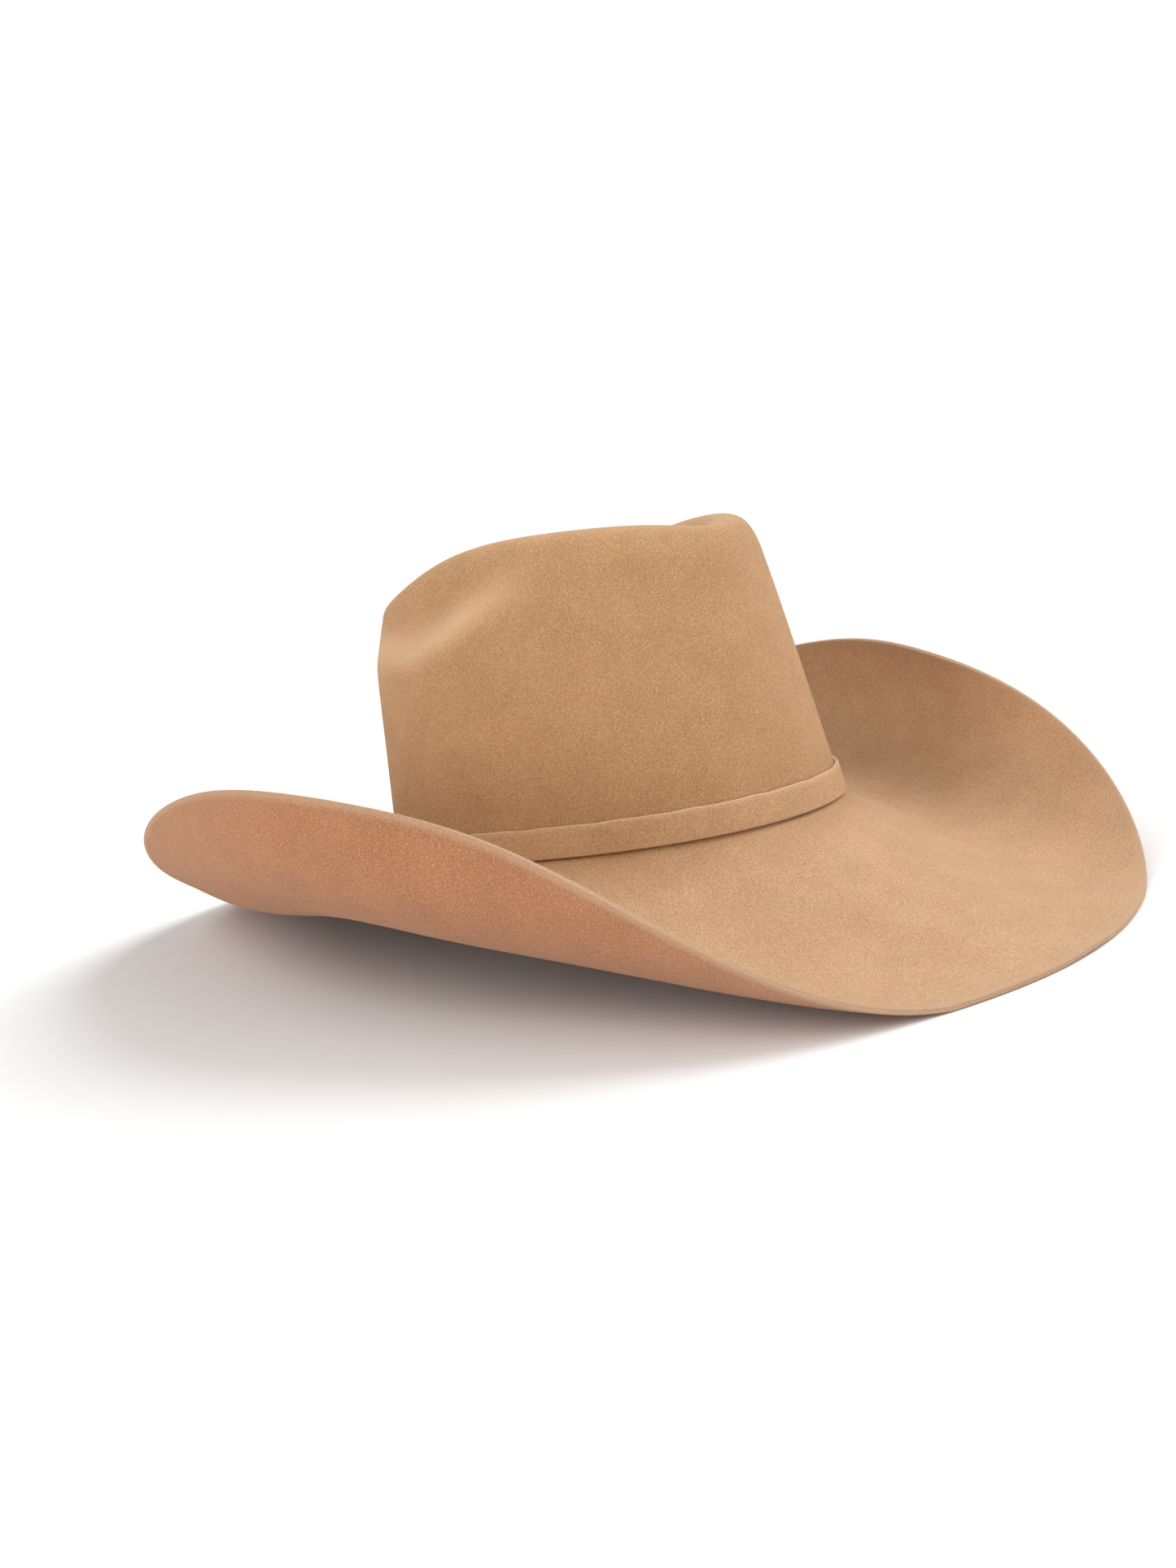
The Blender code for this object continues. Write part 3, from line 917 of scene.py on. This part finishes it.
class SharedGroup:
    """A node group that is made once and used by every felt."""

    name = ""
    sockets: tuple[tuple[str, str, tuple[str, ...]], ...] = ()
    defaults: dict[str, float] = {}

    @classmethod
    def tree(cls) -> bpy.types.NodeTree:
        """Make the node group the first time it is asked for.

        Returns:
            The group's tree.
        """
        if cls.name in bpy.data.node_groups:
            return bpy.data.node_groups[cls.name]
        group = bpy.data.node_groups.new(cls.name, "ShaderNodeTree")
        for direction, kind, names in cls.sockets:
            for name in names:
                socket = group.interface.new_socket(name, in_out=direction, socket_type=kind)
                if name in cls.defaults:
                    socket.default_value = cls.defaults[name]
        net = Net(group)
        cls.fill(net, net.node("NodeGroupInput").outputs, net.node("NodeGroupOutput").inputs)
        return group

    @classmethod
    def fill(cls, net: "Net", source: bpy.types.NodeOutputs, sink: bpy.types.NodeInputs) -> None:
        """Place the group's nodes between its own sockets; each group has its own.

        Args:
            net: the group's net.
            source: what comes into the group.
            sink: what leaves the group.
        """
        raise NotImplementedError(cls.name)


class GrainGroup(SharedGroup):
    """Felt's surface as masks: blotches, grain, flecks and the height of its nap."""

    name = "felt_grain"
    defaults = {"Blotch Size": 0.018, "Grain Size": 0.0011, "Nap Size": 0.00035, "Nap Stretch": 1.6}
    sockets = (("INPUT", "NodeSocketVector", ("Place",)),
               ("INPUT", "NodeSocketFloat", tuple(defaults)),
               ("OUTPUT", "NodeSocketFloat", ("Blotch", "Warmth", "Grain", "Fleck", "Height")))

    @classmethod
    def fill(cls, net: "Net", source: bpy.types.NodeOutputs, sink: bpy.types.NodeInputs) -> None:
        """Place the noises and spread each one over its own mask.

        Args:
            net: the group's net.
            source: what comes into the group.
            sink: what leaves the group.
        """
        place = source["Place"]
        blotch = net.noise(place, net.inverse(source["Blotch Size"]), detail=3, rough=0.5)
        net.link(net.ramp(blotch, 0.30, 0.70), sink["Blotch"])
        shifted = net.vector_math("ADD", place, (0.37, 1.13, 0.59))
        warmth = net.noise(shifted, net.inverse(source["Blotch Size"]), detail=1, rough=0.4)
        net.link(net.ramp(warmth, 0.35, 0.65), sink["Warmth"])
        grain = net.noise(place, net.inverse(source["Grain Size"]), detail=2, rough=0.65)
        stretch = net.node("ShaderNodeCombineXYZ", {"X": 1.0, "Y": 1.0, "Z": source["Nap Stretch"]})
        stretched = net.vector_math("MULTIPLY", place, stretch.outputs["Vector"])
        nap = net.noise(stretched, net.inverse(source["Nap Size"]), detail=2, rough=0.7, bend=0.6)
        mixed = net.math("ADD", net.math("MULTIPLY", grain, 0.62), net.math("MULTIPLY", nap, 0.38))
        net.link(net.ramp(mixed, 0.39, 0.61), sink["Grain"])
        fleck = net.ramp(net.math("MULTIPLY", grain, net.math("MULTIPLY", nap, 2.0)), 0.66, 0.82)
        net.link(fleck, sink["Fleck"])
        net.link(mixed, sink["Height"])


class TintGroup(SharedGroup):
    """Mixes a felt's colours by its masks."""

    name = "felt_tint"
    colours = ("Felt", "Deep", "Pale", "Warm", "Under Shade", "Raw Edge", "Brim Highlight")
    masks = ("Blotch", "Warmth", "Grain", "Fleck", "Rim", "Underside Shade", "Shelf Highlight And Rub", "Foot Shade", "Brim Highlight Mask")
    defaults = {"Blotch Amount": 0.35, "Grain Amount": 0.5, "Fleck Amount": 0.4}
    sockets = (("INPUT", "NodeSocketColor", colours), ("INPUT", "NodeSocketFloat", masks),
               ("INPUT", "NodeSocketFloat", tuple(defaults)),
               ("OUTPUT", "NodeSocketColor", ("Colour",)))
    # share of Pale in the painted shelf highlight and the rubbed nap
    highlight_and_rub_share = 0.42
    raw_share = 0.5
    frayed_share = 0.4
    # share of Deep in the painted shade at the foot of the crown
    foot_shade_share = 0.18

    @classmethod
    def fill(cls, net: "Net", source: bpy.types.NodeOutputs, sink: bpy.types.NodeInputs) -> None:
        """Lay one colour over the next, each by its own mask.

        Args:
            net: the group's net.
            source: what comes into the group.
            sink: what leaves the group.
        """
        # painted highlight: the paler brim colour over the brim's upper face
        colour = net.mix(source["Brim Highlight Mask"], source["Felt"], source["Brim Highlight"])
        # painted shade and warm bounce light: the darker, warmer under colour on the underside and
        # inside
        colour = net.mix(source["Underside Shade"], colour, source["Under Shade"])
        warm = net.math("MULTIPLY", source["Warmth"], source["Blotch Amount"])
        colour = net.mix(warm, colour, source["Warm"], blend="MULTIPLY")
        dark = net.math("MULTIPLY", net.math("SUBTRACT", 1.0, source["Blotch"]), source["Blotch Amount"])
        colour = net.mix(dark, colour, source["Deep"], blend="MULTIPLY")
        dip = net.math("MULTIPLY", net.math("SUBTRACT", 1.0, source["Grain"]), source["Grain Amount"])
        colour = net.mix(dip, colour, source["Deep"], blend="MULTIPLY")
        lit = net.math("MULTIPLY", source["Fleck"], source["Fleck Amount"])
        colour = net.mix(lit, colour, source["Pale"])
        # painted highlight: Pale laid over the shelves beside the crown, and more weakly over the rubbed
        # nap
        highlight_and_rub = net.math("MULTIPLY", source["Shelf Highlight And Rub"], cls.highlight_and_rub_share)
        colour = net.mix(highlight_and_rub, colour, source["Pale"])
        frayed = net.math("MULTIPLY", source["Grain"], cls.frayed_share)
        raw = net.math("MULTIPLY", source["Rim"], net.math("ADD", cls.raw_share, frayed))
        colour = net.mix(raw, colour, source["Raw Edge"])
        # painted shade: Deep multiplied in at the fold between crown and brim and along the band's lower
        # edge
        foot_shade = net.math("MULTIPLY", source["Foot Shade"], cls.foot_shade_share)
        colour = net.mix(foot_shade, colour, source["Deep"], blend="MULTIPLY")
        net.link(colour, sink["Colour"])


class Net:
    """Short ways to place and join the nodes of one tree."""

    def __init__(self, tree: bpy.types.NodeTree) -> None:
        """Keep the tree that the nodes go into."""
        self.tree = tree

    def node(self, kind: str, inputs: dict[str | int, object] | None = None,
             **settings: object) -> bpy.types.Node:
        """Place a node, set its options and fill its inputs.

        Args:
            kind: the node's type.
            inputs: a socket or a plain value for each input, by name or number.
            settings: its options by name.

        Returns:
            The new node.
        """
        made = self.tree.nodes.new(kind)
        for name, value in settings.items():
            setattr(made, name, value)
        for name, value in (inputs or {}).items():
            self.link(value, made.inputs[name])
        return made

    def link(self, source: object, target: bpy.types.NodeSocket) -> None:
        """Join a socket to an input, or set the input to a plain value.

        Args:
            source: a socket or a value.
            target: the input.
        """
        if isinstance(source, bpy.types.NodeSocket):
            self.tree.links.new(source, target)
        else:
            target.default_value = source

    def math(self, operation: str, first: object, second: object) -> bpy.types.NodeSocket:
        """Place one Math node.

        Args:
            operation: what it does.
            first: a socket or a number.
            second: a socket or a number.

        Returns:
            Its result.
        """
        return self.node("ShaderNodeMath", {0: first, 1: second}, operation=operation).outputs[0]

    def vector_math(self, operation: str, first: object, second: object) -> bpy.types.NodeSocket:
        """Place one Vector Math node.

        Args:
            operation: what it does.
            first: a socket or a vector.
            second: a socket or a vector.

        Returns:
            Its vector.
        """
        made = self.node("ShaderNodeVectorMath", {0: first, 1: second}, operation=operation)
        return made.outputs["Vector"]

    def inverse(self, size: bpy.types.NodeSocket) -> bpy.types.NodeSocket:
        """Turn the size of a pattern into its scale."""
        return self.math("DIVIDE", 1.0, size)

    def noise(self, place: bpy.types.NodeSocket, scale: bpy.types.NodeSocket, detail: float,
              rough: float, bend: float = 0.0) -> bpy.types.NodeSocket:
        """A noise pattern.

        Args:
            place: where on the felt.
            scale: repeats per metre.
            detail: finer layers.
            rough: weight of the finer layers.
            bend: how far the pattern is bent by itself.

        Returns:
            The pattern's value.
        """
        inputs = {"Vector": place, "Scale": scale, "Detail": detail, "Roughness": rough,
                  "Distortion": bend}
        return self.node("ShaderNodeTexNoise", inputs).outputs["Fac"]

    def ramp(self, value: bpy.types.NodeSocket, low: float, high: float) -> bpy.types.NodeSocket:
        """Spread the stretch from low to high over 0 to 1, with soft ends.

        Args:
            value: what is read.
            low: what becomes 0.
            high: what becomes 1.

        Returns:
            The spread value.
        """
        inputs = {"Value": value, "From Min": low, "From Max": high}
        made = self.node("ShaderNodeMapRange", inputs, interpolation_type="SMOOTHSTEP")
        return made.outputs["Result"]

    def mix(self, factor: object, first: object, second: object,
            blend: str = "MIX") -> bpy.types.NodeSocket:
        """Mix two colours.

        Args:
            factor: how much of the second.
            first: a socket or a colour.
            second: a socket or a colour.
            blend: how they are mixed.

        Returns:
            The mixed colour.
        """
        inputs = {"Factor": factor, "A": first, "B": second}
        made = self.node("ShaderNodeMix", inputs, data_type="RGBA", blend_type=blend)
        return made.outputs["Result"]


def new_material(name: str) -> tuple[bpy.types.Material, Net]:
    """Make a material that has no nodes yet.

    Args:
        name: the material's name.

    Returns:
        The material, and the net to fill it through.
    """
    made = bpy.data.materials.new(name)
    made.use_nodes = True
    made.node_tree.nodes.clear()
    return made, Net(made.node_tree)


@dataclass(frozen=True)
class FeltFinish:
    """One felt: its colours, its grain and its sheen."""

    name: str
    felt: Colour
    deep: Colour
    pale: Colour
    warm: Colour
    # darker, warmer colour that paints the shade and warm bounce light of the underside
    under_shade: Colour
    raw_edge: Colour
    # paler colour that paints the highlight on the brim's upper face
    brim: Colour
    blotch_amount: float = 0.18
    grain_amount: float = 0.8
    fleck_amount: float = 0.5
    grain_size: float = 0.0005
    nap_size: float = 0.00024
    nap_depth: float = 0.00035
    nap_strength: float = 0.8
    roughness: float = 0.9
    fleck_polish: float = 0.10
    sheen: float = 0.22
    sheen_roughness: float = 0.5
    sheen_tint: Colour = (1.0, 0.85, 0.70)
    specular: float = 0.18

    def material(self) -> bpy.types.Material:
        """Make the material.

        Returns:
            The new material.
        """
        made, net = new_material(self.name)
        place = net.node("ShaderNodeTexCoord").outputs["Object"]
        sizes = {"Place": place, "Grain Size": self.grain_size, "Nap Size": self.nap_size}
        grain = net.node("ShaderNodeGroup", sizes, node_tree=GrainGroup.tree())
        amounts = {"Blotch Amount": self.blotch_amount, "Grain Amount": self.grain_amount,
                   "Fleck Amount": self.fleck_amount}
        tint = net.node("ShaderNodeGroup", amounts, node_tree=TintGroup.tree())
        colours = (self.felt, self.deep, self.pale, self.warm, self.under_shade, self.raw_edge,
                   self.brim)
        for name, colour in zip(TintGroup.colours, colours):
            tint.inputs[name].default_value = (*colour, 1.0)
        for name in ("Blotch", "Warmth", "Grain", "Fleck"):
            net.link(grain.outputs[name], tint.inputs[name])
        for name, mask in (("Rim", Mask.RIM), ("Underside Shade", Mask.UNDER_SHADE), ("Shelf Highlight And Rub", Mask.SHELF_HIGHLIGHT_AND_RUB),
                           ("Foot Shade", Mask.FOOT_SHADE), ("Brim Highlight Mask", Mask.BRIM_HIGHLIGHT)):
            read = net.node("ShaderNodeAttribute", attribute_name=mask.value)
            net.link(read.outputs["Fac"], tint.inputs[name])
        smoother = net.math("MULTIPLY", grain.outputs["Fleck"], self.fleck_polish)
        bump = net.node("ShaderNodeBump", {"Strength": self.nap_strength, "Distance": self.nap_depth,
                                           "Height": grain.outputs["Height"]})
        shader = net.node("ShaderNodeBsdfPrincipled", {
            "Base Color": tint.outputs["Colour"],
            "Roughness": net.math("SUBTRACT", self.roughness, smoother),
            "Specular IOR Level": self.specular,
            "Sheen Weight": self.sheen,
            "Sheen Roughness": self.sheen_roughness,
            "Sheen Tint": (*self.sheen_tint, 1.0),
            "Normal": bump.outputs["Normal"],
        })
        net.node("ShaderNodeOutputMaterial", {"Surface": shader.outputs["BSDF"]})
        return made


@dataclass(frozen=True)
class WoolFinish:
    """The finish of single wool fibres, paler than the felt they come from."""

    name: str
    dark: Colour
    light: Colour
    tone_scale: float = 700.0
    roughness: float = 0.8
    specular: float = 0.25
    sheen: float = 0.3

    def material(self) -> bpy.types.Material:
        """Make the material.

        Returns:
            The new material.
        """
        made, net = new_material(self.name)
        place = net.node("ShaderNodeTexCoord").outputs["Object"]
        tone = net.ramp(net.noise(place, self.tone_scale, detail=1, rough=0.5), 0.35, 0.65)
        shader = net.node("ShaderNodeBsdfPrincipled", {
            "Base Color": net.mix(tone, (*self.dark, 1.0), (*self.light, 1.0)),
            "Roughness": self.roughness,
            "Specular IOR Level": self.specular,
            "Sheen Weight": self.sheen,
        })
        net.node("ShaderNodeOutputMaterial", {"Surface": shader.outputs["BSDF"]})
        return made


BODY_FELT = FeltFinish(
    name="body_felt_finish",
    felt=(0.600, 0.360, 0.190),
    deep=(0.57, 0.48, 0.385),
    pale=(0.86, 0.59, 0.37),
    warm=(1.04, 0.93, 0.88),
    # painted shade and warm bounce light of the underside and inside
    under_shade=(0.53, 0.250, 0.130),
    # the raw cut edge, darker than the felt: partly the cut itself, partly painted shade for the edge's
    # downward-facing side
    raw_edge=(0.52, 0.34, 0.215),
    # painted highlight on the brim's upper face
    brim=(0.635, 0.415, 0.250),
)
BAND_FELT = FeltFinish(
    name="band_felt_finish",
    felt=(0.660, 0.410, 0.235),
    deep=(0.57, 0.48, 0.385),
    pale=(0.86, 0.59, 0.37),
    warm=(1.04, 0.93, 0.88),
    under_shade=(0.50, 0.25, 0.13),
    raw_edge=(0.66, 0.44, 0.28),
    brim=(0.660, 0.410, 0.235),
)
WOOL = WoolFinish(name="loose_wool_finish", dark=(0.50, 0.29, 0.16), light=(0.68, 0.46, 0.29))


@dataclass
class Studio:
    """Pale floor, soft lights and the camera."""

    camera_place: tuple[float, float, float] = (-0.4811, -0.4213, 0.1658)
    azimuth: float = -47.54
    elevation: float = 10.12
    roll: float = 6.95
    lens: float = 35.57
    sensor: float = 36.0
    nearest: float = 0.01
    floor_radius: float = 14.0
    floor_sides: int = 64
    floor_drop: float = 0.0002
    floor_tone: Colour = (0.860, 0.873, 0.890)
    ambient: float = 0.30
    ambient_tint: Colour = (1.0, 0.985, 0.96)
    backdrop_tone: float = 1.0
    light_tint: Colour = (1.0, 0.985, 0.965)

    def camera(self) -> None:
        """Stand the camera where the photo was taken from."""
        a, e, r = (math.radians(v) for v in (self.azimuth, self.elevation, self.roll))
        back = Vector((math.sin(a) * math.cos(e), -math.cos(a) * math.cos(e), math.sin(e)))
        level = Vector((math.cos(a), math.sin(a), 0.0))
        above = back.cross(level)
        right = level * math.cos(r) - above * math.sin(r)
        up = level * math.sin(r) + above * math.cos(r)
        data = bpy.data.cameras.new("photo_camera")
        data.lens = self.lens
        data.sensor_width = self.sensor
        data.clip_start = self.nearest
        view = bpy.data.objects.new("photo_camera", data)
        turned = Matrix((right, up, back)).transposed().to_4x4()
        view.matrix_world = Matrix.Translation(self.camera_place) @ turned
        bpy.context.collection.objects.link(view)
        bpy.context.scene.camera = view

    def floor(self) -> None:
        """Lay the pale floor."""
        mesh = bpy.data.meshes.new("studio_floor")
        ring = []
        for i in range(self.floor_sides):
            turn = 2 * math.pi * i / self.floor_sides
            ring.append((self.floor_radius * math.cos(turn), self.floor_radius * math.sin(turn), 0.0))
        mesh.from_pydata(ring, [], [tuple(range(self.floor_sides))])
        made, net = new_material("studio_floor")
        shader = net.node("ShaderNodeBsdfPrincipled", {
            "Base Color": (*self.floor_tone, 1.0), "Roughness": 0.9, "Specular IOR Level": 0.1})
        net.node("ShaderNodeOutputMaterial", {"Surface": shader.outputs["BSDF"]})
        mesh.materials.append(made)
        piece = bpy.data.objects.new("studio_floor", mesh)
        piece.location.z = -self.floor_drop
        bpy.context.collection.objects.link(piece)

    def panel(self, name: str, bearing: float, height: float, spread: float, strength: float) -> None:
        """Light the whole room evenly from one side.

        Args:
            name: the light's name.
            bearing: where it stands, in degrees from +X towards +Y.
            height: degrees above the floor.
            spread: how wide it looks from the hat, in degrees.
            strength: its strength in watts per square metre.
        """
        data = bpy.data.lights.new(name, "SUN")
        data.angle = math.radians(spread)
        data.energy = strength
        data.color = self.light_tint
        light = bpy.data.objects.new(name, data)
        turn, rise = math.radians(bearing), math.radians(height)
        level = math.cos(rise)
        towards = Vector((math.cos(turn) * level, math.sin(turn) * level, math.sin(rise)))
        light.location = towards * 2.0
        light.rotation_euler = (-towards).to_track_quat("-Z", "Y").to_euler()
        bpy.context.collection.objects.link(light)

    def surround(self) -> None:
        """White surround that lights the hat more weakly than it looks."""
        world = bpy.data.worlds.new("surround")
        bpy.context.scene.world = world
        world.use_nodes = True
        world.node_tree.nodes.clear()
        net = Net(world.node_tree)
        lit = net.node("ShaderNodeBackground", {"Color": (*self.ambient_tint, 1.0),
                                                "Strength": self.ambient})
        seen = net.node("ShaderNodeBackground", {"Color": (self.backdrop_tone,) * 3 + (1.0,)})
        choice = net.node("ShaderNodeMixShader", {
            "Fac": net.node("ShaderNodeLightPath").outputs["Is Camera Ray"],
            1: lit.outputs["Background"], 2: seen.outputs["Background"]})
        net.node("ShaderNodeOutputWorld", {"Surface": choice.outputs["Shader"]})

    def build(self) -> None:
        """Make the floor, the lights, the surround and the camera."""
        self.floor()
        self.panel("key_light", bearing=336.0, height=46.0, spread=42.0, strength=2.15)
        self.panel("front_light", bearing=285.0, height=38.0, spread=60.0, strength=0.85)
        self.panel("back_light", bearing=125.0, height=50.0, spread=50.0, strength=0.50)
        self.panel("side_light", bearing=182.0, height=40.0, spread=50.0, strength=1.05)
        self.panel("low_light", bearing=176.0, height=5.0, spread=24.0, strength=0.95)
        self.surround()
        bpy.context.scene.view_settings.view_transform = "Standard"
        self.camera()


def grow_wool(body: FeltBody, band: HatBand) -> None:
    """Grow the loose fibres of the body's faces, its cut edge and the band's two edges.

    Args:
        body: the felt body, already shaped.
        band: the band, already built.
    """
    finish = WOOL.material()
    nap = LooseWool(seed=11)
    nap.over_faces(body.upper, body.normal, count=30000, low=0.0004, high=0.0012)
    nap.over_faces(body.lower, -body.normal, count=9000, low=0.0004, high=0.0011)
    nap.build("loose_wool_body", finish, "body_felt")
    fringe = LooseWool(seed=23)
    middle = (body.upper[-1] + body.lower[-1]) / 2
    fringe.along_rows(body.rim(), middle, count=7000, low=0.0003, high=0.0009)
    fringe.build("loose_wool_edge", finish, "body_felt")
    strands = LooseWool(seed=37)
    strands.along_rows(band.edges, band.edges.mean(0), count=5000, low=0.0003, high=0.0009)
    strands.build("loose_wool_band", finish, "band_felt")


def main() -> None:
    """Build the hat's pieces in order."""
    form = HatForm()
    place = form.placement()
    body = FeltBody(form, place)
    body.shape()
    body.build(BODY_FELT.material())
    band = HatBand(form, place)
    band.build(BAND_FELT.material())
    grow_wool(body, band)
    Studio().build()


if __name__ == "__main__":
    main()
